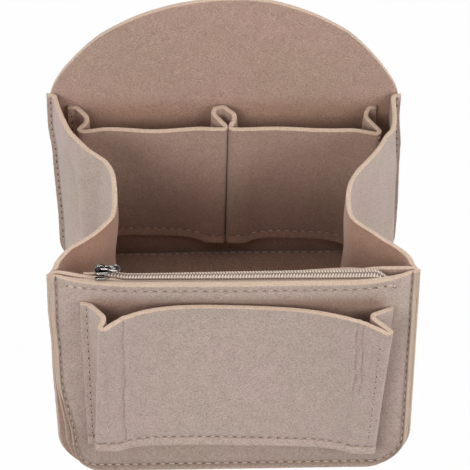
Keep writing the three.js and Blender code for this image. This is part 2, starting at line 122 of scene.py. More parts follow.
def standing(foot, lean):
    c, s = math.cos(lean), math.sin(lean)

    def place(points):
        x, y, z = np.moveaxis(np.asarray(points, float), -1, 0)
        worldY, worldZ = foot + y * c + z * s, z * c - y * s
        return np.stack([x + sway(x, worldY, worldZ), originY + worldY, originZ + worldZ], -1) * mm

    return place


onFront, onBack, upright = standing(-halfDepth, frontLean), standing(halfDepth, backLean), standing(0, 0)


# Shader maths: wraps a socket so that expressions on it add their nodes
class Socket:
    def __init__(self, tree, socket):
        self.tree = tree
        self.socket = socket

    def __add__(self, other):
        return self.tree.maths("ADD", self, other)

    def __mul__(self, other):
        return self.tree.maths("MULTIPLY", self, other)

    __radd__ = __add__
    __rmul__ = __mul__


class Nodes:
    def __init__(self, owner):
        owner.use_nodes = True
        self.owner = owner
        self.nodes, self.links = owner.node_tree.nodes, owner.node_tree.links

    def add(self, kind, settings=None, sockets=None, output=0):
        node = self.nodes.new("ShaderNode" + kind)
        for key, value in (settings or {}).items():
            setattr(node, key, value)
        for key, value in (sockets or {}).items():
            self.feed(node.inputs[key], value)
        return Socket(self, node.outputs[output]) if node.outputs else node

    def feed(self, target, value):
        if isinstance(value, Socket):
            self.links.new(value.socket, target)
        else:
            target.default_value = (*value, 1) if target.type == "RGBA" else value

    def maths(self, operation, *values):
        return self.add("Math", {"operation": operation}, dict(enumerate(values)))


class Finish(Nodes):
    def __init__(self, name):
        super().__init__(bpy.data.materials.new(name))
        self.shader = self.nodes["Principled BSDF"]
        here = self.add("TexCoord", output="Object")
        self.place = self.add("VectorMath", {"operation": "SCALE"}, {0: here, "Scale": 1 / mm})

    def set(self, **values):
        for key, value in values.items():
            self.feed(self.shader.inputs[key.replace("_", " ")], value)

    def noise(self, scale, detail=2, roughness=0.5, distortion=0, at=None):
        return self.add("TexNoise", {}, {
            "Vector": at or self.place, "Scale": scale, "Detail": detail,
            "Roughness": roughness, "Distortion": distortion,
        })

    def between(self, value, low, high):
        sockets = {"Value": value, "From Min": low, "From Max": high}
        return self.add("MapRange", {"interpolation_type": "SMOOTHSTEP"}, sockets)

    def mix(self, factor, first, second, blend="MIX"):
        settings = {"data_type": "RGBA", "blend_type": blend}
        return self.add("Mix", settings, {0: factor, 6: first, 7: second}, output=2)

    def mark(self, label):
        return self.add("Attribute", {"attribute_name": label}, output="Fac")

    def bump(self, height, strength, distance):
        sockets = {"Height": height, "Strength": strength, "Distance": distance}
        self.set(Normal=self.add("Bump", {}, sockets))


def rgb(*parts):
    return tuple(v / 12.92 if v <= 0.04045 else ((v + 0.055) / 1.055) ** 2.4 for v in np.array(parts) / 255)


# The felt's colours. The inside, deep and groove tints are painted shade: for sides that face into the
# organizer, the deepest of them, and seam grooves and other shaded places.
feltLook = {
    "base": rgb(181, 163, 151), "light": rgb(206, 190, 178), "dark": rgb(138, 118, 105),
    "rose": rgb(187, 164, 156), "cut": rgb(205, 182, 161), "cutDark": rgb(172, 146, 126),
    "insideTint": (1.0, 0.87, 0.8), "deepShadeTint": (0.64, 0.48, 0.36), "grooveShadeTint": (0.66, 0.6, 0.56),
    "stretch": (0.6, 1.0, 1.25), "mottleScale": 1.9, "fibreScale": 3.4, "driftScale": 0.022,
    "patchScale": 0.16, "grainScale": 1.9, "roughness": 0.96, "bump": 0.00022,
}


def feltFinish():
    look, finish = feltLook, Finish("feltBeige")
    stretched = finish.add("VectorMath", {"operation": "MULTIPLY"}, {0: finish.place, 1: look["stretch"]})
    mottle = finish.noise(look["mottleScale"], 2, 0.6, 0.3, at=stretched)
    fibres = finish.noise(look["fibreScale"], 2, 0.6, 1.2, at=stretched)
    drift, patches = finish.noise(look["driftScale"]), finish.noise(look["patchScale"])
    base = look["base"]
    for source, low, high, share, tone in (
        (drift, 0.3, 0.7, 1, "rose"), (mottle, 0.48, 0.7, 0.72, "light"), (mottle, 0.52, 0.32, 0.72, "dark"),
        (fibres, 0.58, 0.74, 0.4, "light"), (fibres, 0.42, 0.28, 0.35, "dark"),
        (patches, 0.62, 0.35, 0.12, "dark"),
    ):
        base = finish.mix(finish.between(source, low, high) * share, base, look[tone])
    # Painted shade: the marked sides, grooves and places are darkened by the tints
    for label, low, high, tint in (
        ("inside", 0, 0.5, "insideTint"), ("inside", 0.5, 1, "deepShadeTint"), ("grooveShade", 0.1, 0.9, "grooveShadeTint"),
    ):
        base = finish.mix(finish.between(finish.mark(label), low, high), base, look[tint], "MULTIPLY")
    grain = finish.noise(look["grainScale"], 3, 0.7)
    edge = finish.mix(finish.between(grain, 0.35, 0.62), look["cutDark"], look["cut"])
    cut = finish.between(finish.mark("cut"), 0.35, 0.8)
    finish.set(Base_Color=finish.mix(cut, base, edge), Roughness=look["roughness"])
    finish.set(Sheen_Weight=0.25, Sheen_Roughness=0.6, Specular_IOR_Level=0.2)
    finish.bump(mottle * 0.65 + fibres * 0.35, 1, look["bump"])
    return finish.owner


def threadFinish():
    finish = Finish("threadBeige")
    strands = finish.noise(5)
    finish.set(Base_Color=finish.mix(strands, rgb(170, 150, 136), rgb(216, 200, 186)), Roughness=0.7)
    finish.bump(strands, 0.6, 0.0001)
    return finish.owner


# Needle holes: dark discs, painted shade for the holes and the groove round each stitch
def holeShadeFinish():
    finish = Finish("needleHoleShade")
    depth = finish.mix(finish.noise(3), rgb(86, 67, 58), rgb(116, 95, 84))
    finish.set(Base_Color=depth, Roughness=1, Specular_IOR_Level=0)
    return finish.owner


def tapeFinish():
    finish = Finish("wovenTape")
    x, z = (finish.add("SeparateXYZ", {}, {"Vector": finish.place}, output) for output in "XZ")
    ribs, weft = finish.maths("SINE", x * 7.5 + z * 7.5), finish.maths("SINE", z * 12)
    weave = finish.between(ribs * 0.6 + weft * 0.4, -1, 1)
    finish.set(Base_Color=finish.mix(weave, rgb(170, 142, 126), rgb(204, 182, 166)), Roughness=0.82)
    finish.bump(weave, 0.8, 0.00012)
    return finish.owner


def nylonFinish():
    finish = Finish("nylonCoil")
    haze = finish.noise(1.2)
    turns = finish.mix(haze, rgb(194, 174, 158), rgb(220, 203, 188))
    # Where the mark named seam is set, the cords turn dark brown: painted shade for the gaps between the
    # turns
    finish.set(Base_Color=finish.mix(finish.mark("seam"), turns, rgb(70, 46, 40)), Coat_Weight=0.25)
    finish.set(Roughness=finish.between(haze, 0.2, 0.8) * 0.12 + 0.32)
    finish.bump(haze, 0.2, 0.00005)
    return finish.owner


def nickelFinish():
    finish = Finish("darkNickel")
    wear = finish.noise(0.9, 3, 0.6)
    # Painted reflection: the metal's colour turns dark or light by the way its surface faces
    paintedReflection = finish.noise(2.3, 2, 0.5, 0.6, at=finish.add("NewGeometry", output="Normal"))
    tone = finish.mix(finish.between(paintedReflection, 0.5, 0.62), rgb(44, 40, 39), rgb(206, 200, 194))
    tone = finish.mix(finish.between(wear, 0.35, 0.7) * 0.4, tone, rgb(96, 91, 88))
    finish.set(Base_Color=tone, Metallic=1, Roughness=finish.between(wear, 0.3, 0.8) * 0.12 + 0.12)
    finish.bump(finish.noise(2.2), 0.12, 0.00005)
    return finish.owner


feltBeige, threadBeige, needleHoleShade = feltFinish(), threadFinish(), holeShadeFinish()
wovenTape, nylonCoil, darkNickel = tapeFinish(), nylonFinish(), nickelFinish()
print("materials made")


def addMesh(name, points, faces, material, body, smooth=True, marks=None):
    mesh = bpy.data.meshes.new(name)
    mesh.from_pydata(np.asarray(points).tolist(), [], [list(map(int, face)) for face in faces])
    for label, values in (marks or {}).items():
        layerData = mesh.attributes.new(label, "FLOAT", "POINT").data
        layerData.foreach_set("value", np.asarray(values, np.float32))
    mesh.polygons.foreach_set("use_smooth", [smooth] * len(mesh.polygons))
    mesh.update()
    piece = bpy.data.objects.new(name, mesh)
    bpy.context.scene.collection.objects.link(piece)
    mesh.materials.append(material)
    if body:
        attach(piece, body)
    return piece


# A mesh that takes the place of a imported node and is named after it
def addPiece(node, points, faces, material, body, marks=None):
    first, *rest = node.split("_")
    piece = addMesh(first + "".join(map(str.title, rest)), points, faces, material, body, marks=marks)
    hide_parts(node)
    return piece


def unit(vectors):
    return vectors / np.maximum(np.linalg.norm(vectors, axis=-1, keepdims=True), 1e-9)


def gridNormals(grid):
    return unit(np.cross(np.gradient(grid, axis=1), np.gradient(grid, axis=0)))


# A sheet's cut edge: its rounding as a set-in in millimetres and a share of the thickness, how far
# its fibres stand out, and how strongly the rim is marked as cut and the edge gets painted inside shade
cutEdge = {
    "rounding": [(0.32, 0.5), (0.08, 0.4), (0, 0.2), (0, -0.2), (0.08, -0.4), (0.32, -0.5)],
    "fuzz": 0.05, "rim": 0.45, "inside": 0.2,
}
grooveDepth = 0.6


# A closed felt sheet about a grid of middle points. Its marks tell the shader where the cut edges are,
# and where painted shade darkens its sides that face into the organizer, its grooves and other places.
def feltSheet(
    node, grid, place, body, pinch=0, normals=None, inside=(0, 0), shade=0, thickness=felt,
    material=feltBeige,
):
    def spread(values):
        return np.broadcast_to(values, grid.shape[:2]).reshape(-1)

    index = np.arange(grid[..., 0].size).reshape(grid.shape[:2])
    quads = np.stack([index[:-1, :-1], index[:-1, 1:], index[1:, 1:], index[1:, :-1]], -1).reshape(-1, 4)
    rim = np.concatenate([index[0, :-1], index[:-1, -1], index[-1, :0:-1], index[:0:-1, 0]])
    normals = (gridNormals(grid) if normals is None else normals).reshape(-1, 3)
    middle, half = grid.reshape(-1, 3), thickness / 2 - spread(pinch)[:, None]
    edge, over = middle[rim], normals[rim]
    tangent = unit(np.roll(edge, -1, axis=0) - edge) + unit(edge - np.roll(edge, 1, axis=0))
    outward = unit(np.cross(tangent, over))
    rounding, layers = cutEdge["rounding"], [middle + normals * half, middle - normals * half]
    for side in layers:
        side[rim] -= outward * rounding[0][0]
    count, rimCount = len(middle), len(rim)
    fuzz = rng.normal(0, cutEdge["fuzz"], rimCount)[:, None]
    for inset, share in rounding[1:-1]:
        layers.append(edge + outward * (fuzz - inset) + over * (2 * share * half[rim]))
    faces = [quads, quads[:, ::-1] + count]
    loops = [rim, *(2 * count + k * rimCount + np.arange(rimCount) for k in range(4)), rim + count]
    for first, second in zip(loops[:-1], loops[1:]):
        faces.append(np.stack([first, second, np.roll(second, -1), np.roll(first, -1)], -1))
    onEdge = np.ones(4 * rimCount)
    cut = np.concatenate([np.zeros(2 * count), onEdge])
    cut[rim] = cut[rim + count] = cutEdge["rim"]
    grooveShade = np.clip(spread(pinch / grooveDepth + shade), 0, 1)
    marks = {
        "cut": cut, "inside": np.concatenate([*map(spread, inside), cutEdge["inside"] * onEdge]),
        "grooveShade": np.concatenate([grooveShade, grooveShade, 0 * onEdge]),
    }
    points, faces = place(np.concatenate(layers)), np.concatenate(faces)
    piece = addPiece(node, points, faces, material, body, marks)
    across = np.linalg.norm(np.diff(grid, axis=1), axis=2).sum(1).max()
    along = np.linalg.norm(np.diff(grid, axis=0), axis=2).sum(0).max()
    return piece


# Slow waves that pressed felt keeps, the same for the layers of one wall
def ripple(x, z, size, turn):
    waves = np.sin(x / 17.3 + z / 41 + turn) + 0.8 * np.sin(z / 14.1 - x / 37 + 2.1 * turn)
    waves += 0.6 * np.sin(x / 9.1 - z / 21 + 1.3 + turn) + 0.5 * np.sin((x + z) / 29 + 0.4)
    return size * waves / 2.9


def dip(distance, middle, width=0.9):
    return np.exp(-(((distance - middle) / width) ** 2))


# Flat panels: a grid fitted into the panel's outline, with closer lines along the seams

edgeSteps = np.array([0, 0.8, 1.7, 2.6, 3.4, 4.1, 4.8, 5.6, 6.6, 8.2, 10.5])


def stations(length, spacing=4):
    middle = np.linspace(edgeSteps[-1], length - edgeSteps[-1], int(length / spacing))
    return np.concatenate([edgeSteps[:-1], middle, length - edgeSteps[-2::-1]]) / length


def panelPlan(half, height, archBase=None):
    inset, slant = corner * (1 - math.sqrt(0.5)), math.sqrt(0.5)
    footX, topX = half - inset, half * slant if archBase else half
    topZ = archBase + archRise * slant if archBase else height
    u, v = 2 * stations(2 * footX)[None, :] - 1, stations(topZ - inset)[:, None]
    side = (1 - v) * inset + v * topZ
    width = half - corner + np.sqrt(corner**2 - np.clip(corner - side, 0, corner) ** 2)
    if archBase:
        width = width * np.sqrt(1 - np.clip((side - archBase) / archRise, 0, 1) ** 2)
        topZ = archBase + archRise * np.sqrt(1 - (topX * u / half) ** 2)
    past = np.clip(np.abs(footX * u) - (half - corner), 0, corner)
    return u * width, (1 - v) * (corner - np.sqrt(corner**2 - past**2)) + v * topZ


# Distance to the sewn edge over the sides, the foot and, where there is one, the arch
def edgeDistance(x, z, half, archBase=None):
    px = np.abs(x)
    cornerX, cornerZ = px - (half - corner), corner - z
    inCorner = (cornerX > 0) & (cornerZ > 0)
    distance = np.where(inCorner, corner - np.hypot(cornerX, cornerZ), np.minimum(half - px, z))
    if archBase is None:
        return distance
    turns = np.linspace(0, quarter, 500)
    archX, archZ = half * np.cos(turns), archBase + archRise * np.sin(turns)
    near = np.hypot(px[..., None] - archX, z[..., None] - archZ).min(-1)
    return np.where(z > archBase - 8, np.minimum(distance, near), distance)


def sheetOn(depthAt, x, z):
    step = 0.25
    slopeX = (depthAt(x + step, z) - depthAt(x - step, z)) / (2 * step)
    slopeZ = (depthAt(x, z + step) - depthAt(x, z - step)) / (2 * step)
    normals = unit(np.stack([slopeX, -np.ones_like(x), slopeZ], -1))
    return np.stack([x, depthAt(x, z), z], -1), normals


backPanel = {"ripple": 0.7, "pinch": 0.36, "sag": 0.72}


def backDepth(x, z):
    sag = backPanel["sag"] * ease(z, 120, 194) * np.sin(x / 31 + 0.6)
    return ripple(x, z, backPanel["ripple"], 0.7) * ease(z, 8, 40) + sag


def makeBackPanel():
    archBase = backHeight - archRise
    x, z = panelPlan(backHalf, backHeight, archBase)
    grid, normals = sheetOn(backDepth, x, z)
    near = edgeDistance(x, z, backHalf, archBase)
    pinch = backPanel["pinch"] * dip(near, walls["seamAt"]) * ease(z, 134, 126)
    # Painted shade on the front side, darker just above the inner pocket
    dim = 0.5 + 0.3 * ease(z, 134, 114)
    return feltSheet("back_panel", grid, onBack, "organizer", pinch, normals, inside=(dim, 0))


frontPanels = {
    "bow": 8.5, "bowFlatness": 8, "bowFade": 1.6, "bowSlant": 0.12, "flare": 1.3, "swell": 0.75,
    "ripple": 0.55, "pinch": 0.75, "zipPinch": 0.45, "splay": 2.1, "drop": 1.3, "trim": 2.6,
    "footTrim": 1.3, "curl": 0.5, "pull": 5.0,
}


def bow(x, z):
    share, rise = x / (frontHalf - seam), np.clip(z / frontHeight, 0, 1) ** frontPanels["bowFade"]
    full = 1 - np.minimum(np.abs(share), 1) ** frontPanels["bowFlatness"]
    full = full * (1 + frontPanels["bowSlant"] * share) * rise
    return frontPanels["bow"] * full + frontPanels["flare"] * ease(z, 110, 131) * ease(np.abs(x), 86, 50)


def frontRipple(x, z):
    return ripple(x, z, frontPanels["ripple"], 2.2) * ease(z, 4, 30)


# Outside the seam the margins stand forward
def marginCurl(beyond):
    return frontPanels["curl"] * (np.sqrt(np.maximum(beyond, 0) ** 2 + 0.09) - 0.3)


def frontMargin(x, z):
    return marginCurl(walls["seamAt"] - edgeDistance(x, z, frontHalf))


# How far the front sheet and its seam are drawn to the right above the lower left corner
def cornerPull(x, z):
    return frontPanels["pull"] * ease(z, 65, 22) * ease(z, 0, 18) * ease(-x, 55, 92)


# Each layer ends a little inside the one behind it
def frontTrim(x, z, share):
    side = frontPanels["trim"] * share * ease(np.abs(x), 50, frontHalf)
    return x - np.sign(x) * side, z + frontPanels["footTrim"] * share * ease(z, 20, 0)


# The layers stand apart at the lower left corner and a little outside the seams of sides and foot
def cornerSplay(x, z):
    reach = dip(x, -89, 6) * dip(z, 22, 24) + 0.45 * ease(np.abs(x), 90, 94) * ease(z, 125, 110)
    return frontPanels["splay"] * (reach + 0.4 * ease(z, 4, 0))


# How far the zip pocket's rear sheet gives way to the chain: forward, and down at its top
def sheetGives(x):
    forward = 4.2 * ease(x, -90, -74) * (1 - 0.35 * ease(x, -40, 10) - 0.65 * ease(x, 20, 66))
    return forward, 1.9 * ease(x, -66, -46) * ease(x, 74, 60)


def innerDepth(x, z):
    forward = sheetGives(x)[0] * ease(z, 62, 131)
    return frontRipple(x, z) + 0.35 * cornerSplay(x, z) - forward - frontMargin(x, z)


def outerDepth(x, z):
    return -layer - bow(x, z) + frontRipple(x, z) - cornerSplay(x, z) - frontMargin(x, z)


# The front sheet's top edge isn't pressed flat, and is thicker than the rest
def topEdgeSwell(x, z):
    return frontPanels["swell"] * ease(z, 118, 130) * ease(np.abs(x), 88, 74)


# The sheets' trimmed outlines, lower at the top corners, and the groove of the seam round them
def trimmedPlan(share, lower):
    planX, planZ = panelPlan(frontHalf, frontHeight)
    x, z = frontTrim(planX, planZ, share)
    drop = lower(x) + frontPanels["drop"] * ease(np.abs(x), 90, 94)
    pinch = frontPanels["pinch"] * dip(edgeDistance(x, z, frontHalf), walls["seamAt"], 1)
    return x, z, z - drop * ease(planZ, 110, 131), pinch


def makeFrontPanels():
    x, z, topZ, pinch = trimmedPlan(0.5, lambda u: sheetGives(u)[1])
    grid, normals = sheetOn(innerDepth, x + 0.5 * cornerPull(x, z), topZ)
    # The inner sheet gets painted inside shade on both sides
    inner = feltSheet(
        "front_inner_panel", grid, onFront, "front_wall", 0.5 * pinch, normals, inside=(0.5, 0.6)
    )
    x, z, topZ, pinch = trimmedPlan(1, lambda u: 0)
    swell, aside = topEdgeSwell(x, z), np.abs(x)
    zipSeam = frontPanels["zipPinch"] * dip(z, zipper["stitchHeight"]) * ease(aside, 83, 78)
    # Painted shade on the front sheet: behind the outer pocket's mouth, towards the foot, low at the sides
    # and along the seams' grooves; its rear side gets painted inside shade
    behind = ease(z, 128, 114) * ease(aside, 82, 68) * ease(z, 26, 40)
    beside = 0.42 * ease(z, 95, 12) * ease(aside, 68, 80)
    shade = np.maximum(behind, np.maximum(0.5 * ease(z, 26, 18), beside)) + swell / grooveDepth
    grid, normals = sheetOn(
        lambda u, v: outerDepth(u, v) + topEdgeSwell(u, v), x + cornerPull(x, z), topZ
    )
    outer = feltSheet(
        "front_panel", grid, onFront, "front_wall", pinch + zipSeam - swell, normals,
        inside=(0.45 * behind, 0.8), shade=shade,
    )
    return inner, outer


# Zip chain: the coil's rows and what carries them, in millimetres

zipper = {
    "stitchHeight": 127.2, "tapeHalf": 76, "tapeEnd": 5, "tapeColumns": 106, "tape": 0.7, "tapeDepth": 8,
    "tapeLift": 0.8, "clear": 0.3, "setback": 2.9, "slot": 1.1, "pitch": 1.5, "start": -66.5,
    "turns": 98, "wire": 0.36, "width": 2.6, "reach": 0.5, "height": 1.9,
}
tapeFoot = frontHeight + 2 * zipper["clear"] + zipper["tapeLift"]
coilMiddle = tapeFoot + zipper["tape"] + zipper["clear"] + zipper["height"] / 2


# The chain hangs between its ends: how far it comes forward, sinks and turns on its own axis
def chainHang(x):
    forward = 1.1 + 1.7 * ease(x, -78, -68) + 0.4 * ease(x, -66, -44) + 1.6 * ease(x, 68, 80)
    down = 2.5 * ease(x, -68, -54) + 5.5 * ease(x, 70, 81) + 3 * ease(-x, 70, 76)
    turn = 14 * ease(x, -50, 10) + 14 * ease(x, 10, 56) - 8 * ease(x, -66, -55)
    return forward, down, np.radians(turn)


# A place on the chain: v across it, to the rear, and w up from the coil's middle
def onChain(x, v, w):
    forward, down, turn = chainHang(x)
    y = -zipper["setback"] - forward + v * np.cos(turn) - w * np.sin(turn)
    z = coilMiddle - down + w * np.cos(turn) + v * np.sin(turn)
    return np.stack(np.broadcast_arrays(x, y, z), -1)


# Side gussets and base: one section from the rear flange to the front one, carried up the sides and
# across the floor. A plan gives the fold's share of its inset at shares of the depth, from the rear
# to the front, and a crease has its share of the depth, its height and its width.

gussets = {
    "rearHeight": 127.5, "foldStart": 9, "foldFull": 66, "wallRows": 44, "cornerRows": 10, "foldSteps": 66,
    "frontCorner": 3.4, "blendLean": 27,
    -1: {
        "node": "left_gusset", "inset": 29.2, "below": -0.07, "rearLift": 3.5, "dim": 0.42,
        "creases": [(0.24, 1.7, 0.03), (0.3, -1.5, 0.025), (0.36, 0.9, 0.02)],
        "plan": [
            (0, 0), (0.08, 0.07), (0.143, 0.14), (0.208, 0.23), (0.26, 0.366), (0.316, 0.53),
            (0.36, 0.71), (0.39, 0.835), (0.44, 0.935), (0.5, 0.985), (0.6, 1), (0.67, 0.985),
            (0.725, 0.94), (0.77, 0.82), (0.826, 0.63), (0.872, 0.42), (0.91, 0.23), (0.96, 0.09), (1, 0),
        ],
    },
    1: {
        "node": "right_gusset", "inset": 29.5, "below": 0.055, "rearLift": 0.5, "dim": 0.34, "creases": [],
        "plan": [
            (0, 0), (0.12, 0), (0.2, 0.05), (0.25, 0.18), (0.32, 0.33), (0.4, 0.57), (0.46, 0.77),
            (0.53, 0.92), (0.6, 0.99), (0.66, 1), (0.71, 0.99), (0.75, 0.94), (0.785, 0.83),
            (0.83, 0.63), (0.88, 0.43), (0.915, 0.27), (0.96, 0.1), (1, 0),
        ],
    },
}


# A smooth line through points, or a loop
def throughPoints(points, count, closed=False):
    points = np.asarray(points, float)
    before, after = (points[-1:], points[:2]) if closed else (points[:1], points[-1:])
    padded = np.concatenate([before, points, after])
    last = len(points) - (0 if closed else 1)
    at = np.linspace(0, last, count, endpoint=not closed)
    k = np.minimum(at.astype(int), last - 1)
    f = (at - k)[:, None]
    a, b, c, d = (padded[k + step] for step in range(4))
    return b + (c - a + (2 * a - 5 * b + 4 * c - d + (3 * (b - c) + d - a) * f) * f) * f / 2


def rearPlane(z):
    return halfDepth + z * math.tan(backLean) - layer / math.cos(backLean)


def frontPlane(z):
    return z * math.tan(frontLean) + layer / math.cos(frontLean) - halfDepth


def stripSection(side, opening):
    bend, inset = walls["seamBend"], gussets[side]["inset"]
    rear = [(out, 0, 0) for out in (seam, 3.9, 3.3, 2.8)]
    rear += [(bend * (1 - math.sin(t)), 0, bend * (math.cos(t) - 1)) for t in np.linspace(0, quarter, 7)]
    plan = throughPoints(gussets[side]["plan"], gussets["foldSteps"] + 1)[1:-1]
    fold = [(-inset * opening * share, depth, bend * (2 * depth - 1)) for depth, share in plan]
    front = [(out, 1, -shift - marginCurl(out - 0.2)) for out, depth, shift in rear[::-1]]
    return np.array(rear + fold + front)


def stripRow(side, opening, place):
    out, depth, shift = stripSection(side, opening).T
    x, z = place(backHalf + (frontHalf - backHalf) * depth, out, depth)
    y = rearPlane(z) * (1 - depth) + frontPlane(z) * depth + shift
    return np.stack(np.broadcast_arrays(x, y, z), -1)


def foldOpening(side, height):
    lower = 1 + gussets[side]["below"] * ease(height, 127, 50)
    return ease(height, gussets["foldStart"], gussets["foldFull"]) * lower


def makeGusset(side):
    shape, rows = gussets[side], []
    for turn in np.linspace(0, quarter, gussets["cornerRows"] + 1):
        s, c = math.sin(turn), math.cos(turn)

        def place(half, out, depth):
            reach = corner - seam + out
            return side * (half - corner + reach * s), corner - reach * c

        rows.append(stripRow(side, foldOpening(side, corner - (corner - seam) * c), place))
    rearTop = gussets["rearHeight"] * math.cos(backLean) + shape["rearLift"]
    rise = frontHeight * math.cos(frontLean) - rearTop
    for share in (*np.linspace(0, 0.965, gussets["wallRows"])[1:], 0.975, 0.984, 0.993, 1):
        def place(half, out, depth):
            top = rearTop + rise * ease(depth, 0, 0.55)
            top = top - gussets["frontCorner"] * ease(out, -1, 4.6) * ease(depth, 0.95, 0.99)
            z = corner + (top - corner) * share
            wave = 0.5 * np.sin(z / 11 + 5 * depth) + 0.35 * np.sin(z / 6.1 - 9 * depth + 1)
            crease = sum(high * dip(depth, at, width) for at, high, width in shape["creases"])
            crease = crease * ease(share, 0.25, 0.5) * ease(share, 0.93, 0.75)
            return side * (half - seam + out - (wave * 0.8 + crease) * ease(-out, 0, 5)), z

        opening = foldOpening(side, corner + (gussets["rearHeight"] - corner) * share)
        rows.append(stripRow(side, opening, place))
    grid = np.array(rows[::side])
    # Painted shade on the side that faces into the organizer, stronger towards the front
    dim = 0.5 + shape["dim"] * ease(grid[..., 1], -58, -38)
    inside = (dim, 0) if gridNormals(grid)[20, 40, 0] * side < 0 else (0, dim)
    piece = feltSheet(shape["node"], grid, upright, None, inside=inside)
    blendGusset(piece)
    return piece


# Works out a leaning bend between the gusset's rear flange and the front wall, which would keep the foot,
# which the front wall turns about, near the ground. The bend isn't applied; only the transform is baked.
def blendGusset(piece):
    top, lean = gussets["rearHeight"], math.radians(gussets["blendLean"])
    reach = (rearPlane(top) - frontPlane(top)) * math.cos(lean)
    endY, endZ = originY + frontPlane(top), originZ + top
    startY, startZ = endY + reach * math.cos(lean), endZ - reach * math.sin(lean)
    startY * mm
    startZ * mm
    endY * mm
    endZ * mm
    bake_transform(piece)


def makeBase():
    rows = []
    for share in np.linspace(-1, 1, 60):
        def place(half, out, depth):
            x = share * (half - corner - 0.3)
            sag = ripple(x, 150 * depth, 0.5, 1.1) + 5.0 * ease(depth, 0.2, 0.01)
            return x, seam - out + sag * ease(-out, -0.2, 0.1)

        rows.append(stripRow(-1, 0, place))
    # Painted shade on both sides of the base
    return feltSheet("base_panel", np.array(rows), upright, "organizer", inside=(0.74, 0.74))


# Pleated pockets: a line of felt seen from above at the top and along the stitched foot

outerPocket = {
    "foot": 20.5, "footSlope": -0.034, "top": 119.5, "topSlope": -0.035, "rise": 3.5, "rest": 1.3,
    "footRelax": 9, "loopFlat": 0, "backRise": 0, "pinch": 0.55,
    "left": {
        "edge": 73.5, "footEdge": 73.5, "flange": 4.2, "foldReach": 7, "foldDepth": 14, "cornerReach": 5.4,
        "depth": 22, "relax": 16, "footReach": 11,
    },
    "right": {
        "edge": 79.5, "footEdge": 74.6, "flange": 0.5, "foldReach": 10.5, "foldDepth": 9.5,
        "cornerReach": 1.6, "depth": 22, "relax": 23, "footReach": 6.5,
    },
}
innerPocket = {
    "foot": 22.8, "footSlope": -0.05, "top": 118.5, "topSlope": 0, "rise": 0, "rest": 16.7,
    "footRelax": 7, "loopFlat": 9.5, "backRise": 3.4, "pinch": 0.3,
    "left": {
        "edge": 80.5, "footEdge": 80.5, "flange": 4.2, "foldReach": 5.5, "foldDepth": 10,
        "cornerReach": 1.4, "depth": 17.5, "relax": 7, "footReach": 8,
    },
    "right": {
        "edge": 78, "footEdge": 78, "flange": 4.2, "foldReach": 2.2, "foldDepth": 9, "cornerReach": -5.4,
        "depth": 21.5, "relax": 20, "footReach": 8,
    },
    "loopTop": [(-0.47, 0.47), (-0.43, 0.3), (-0.16, 0.2), (0.22, 0.5), (0.21, 0.66)],
}
footCorner = 1


def sidePleat(side, atTop):
    edge, depth = side["edge"] if atTop else side["footEdge"], side["foldDepth"]
    start = [(-edge - side["flange"], layer), (-edge, layer)]
    if not atTop:
        stacked, fold = layer - edge + side["footReach"], footCorner - edge
        return start + [(stacked, layer), (stacked, 2 * layer), (fold, 2 * layer), (fold, 3 * layer)]
    fold, turned = side["foldReach"] - edge, side["cornerReach"] - edge
    return start + [
        (fold, depth - felt / 2), (fold, depth + felt / 2), (turned, side["depth"] - layer / 2),
        (turned + layer * math.sqrt(0.5), side["depth"]),
    ]


faceShares = np.concatenate([np.linspace(0.03, 0.22, 15), np.linspace(0.27, 0.93, 14)])


def faceDepth(pocket, x, starts, atTop):
    fromLeft, fromRight = x - starts[0], starts[1] - x
    left, right, loop, relax = pocket["left"], pocket["right"], pocket["loopFlat"], pocket["footRelax"]
    if not atTop:
        byLoop = math.exp(-max(abs(x) - loop - 1, 0) / relax) if loop else 0
        pleat = max(min(fromLeft, fromRight) - left["footReach"] - 1, 0)
        return layer + 2 * layer * min(math.exp(-pleat / relax) + byLoop, 1)
    middle = pocket["rest"] if loop else layer + pocket["rest"]
    byLeft = (left["depth"] - middle) * math.exp(-fromLeft / left["relax"])
    return middle + byLeft + (right["depth"] - middle) * math.exp(-fromRight / right["relax"])


def mirrored(points):
    return [(-x, y) for x, y in points][::-1]


def loopLine(pocket, atTop):
    reach, rest = pocket["loopFlat"], pocket["rest"]
    front = rest if atTop else 3 * layer
    left = [(-layer / 2, front), (-layer / 2, front - layer)]
    folds = [(-reach, 2 * layer), (-reach, layer), (0, layer), (reach, layer), (reach, 2 * layer)]
    if atTop:
        folds = [(x * rest, y * rest) for x, y in pocket["loopTop"]]
    return left + folds + mirrored(left)


def pocketLine(pocket, atTop):
    left, right = sidePleat(pocket["left"], atTop), mirrored(sidePleat(pocket["right"], atTop))
    starts = (left[-1][0], right[0][0])
    loopEdge = layer / 2 if pocket["loopFlat"] else 0

    def face(start, end):
        places = start + faceShares * (end - start)
        return [(x, faceDepth(pocket, x, starts, atTop)) for x in places]

    middle = loopLine(pocket, atTop) if pocket["loopFlat"] else [(0, faceDepth(pocket, 0, starts, atTop))]
    return np.array(left + face(starts[0], -loopEdge) + middle + face(starts[1], loopEdge)[::-1] + right)


# Rounds the corners of a line, apart from those in the plain stretches as counted from its ends
def roundedPath(corners, trim, plain, steps):
    path, last = [corners[:1]], len(corners) - 1
    t = np.linspace(0, 1, steps + 1)[:, None]
    for k in range(1, last):
        if plain[0] <= min(k, last - k) < plain[1]:
            path.append(corners[k:k + 1])
            continue
        arms = corners[[k - 1, k + 1]] - corners[k]
        lengths = np.linalg.norm(arms, axis=1)
        reach = min(trim, *lengths / 2)
        inward, onward = arms / lengths[:, None] * reach
        weight = 2 * math.sin(math.acos(float(np.clip(inward @ onward / reach**2, -1, 1))) / 2)
        total = (1 - t) ** 2 + weight * t * (1 - t) + t**2
        path.append(corners[k] + (inward * (1 - t) ** 2 + onward * t**2) / total)
    return np.concatenate([*path, corners[last:]])


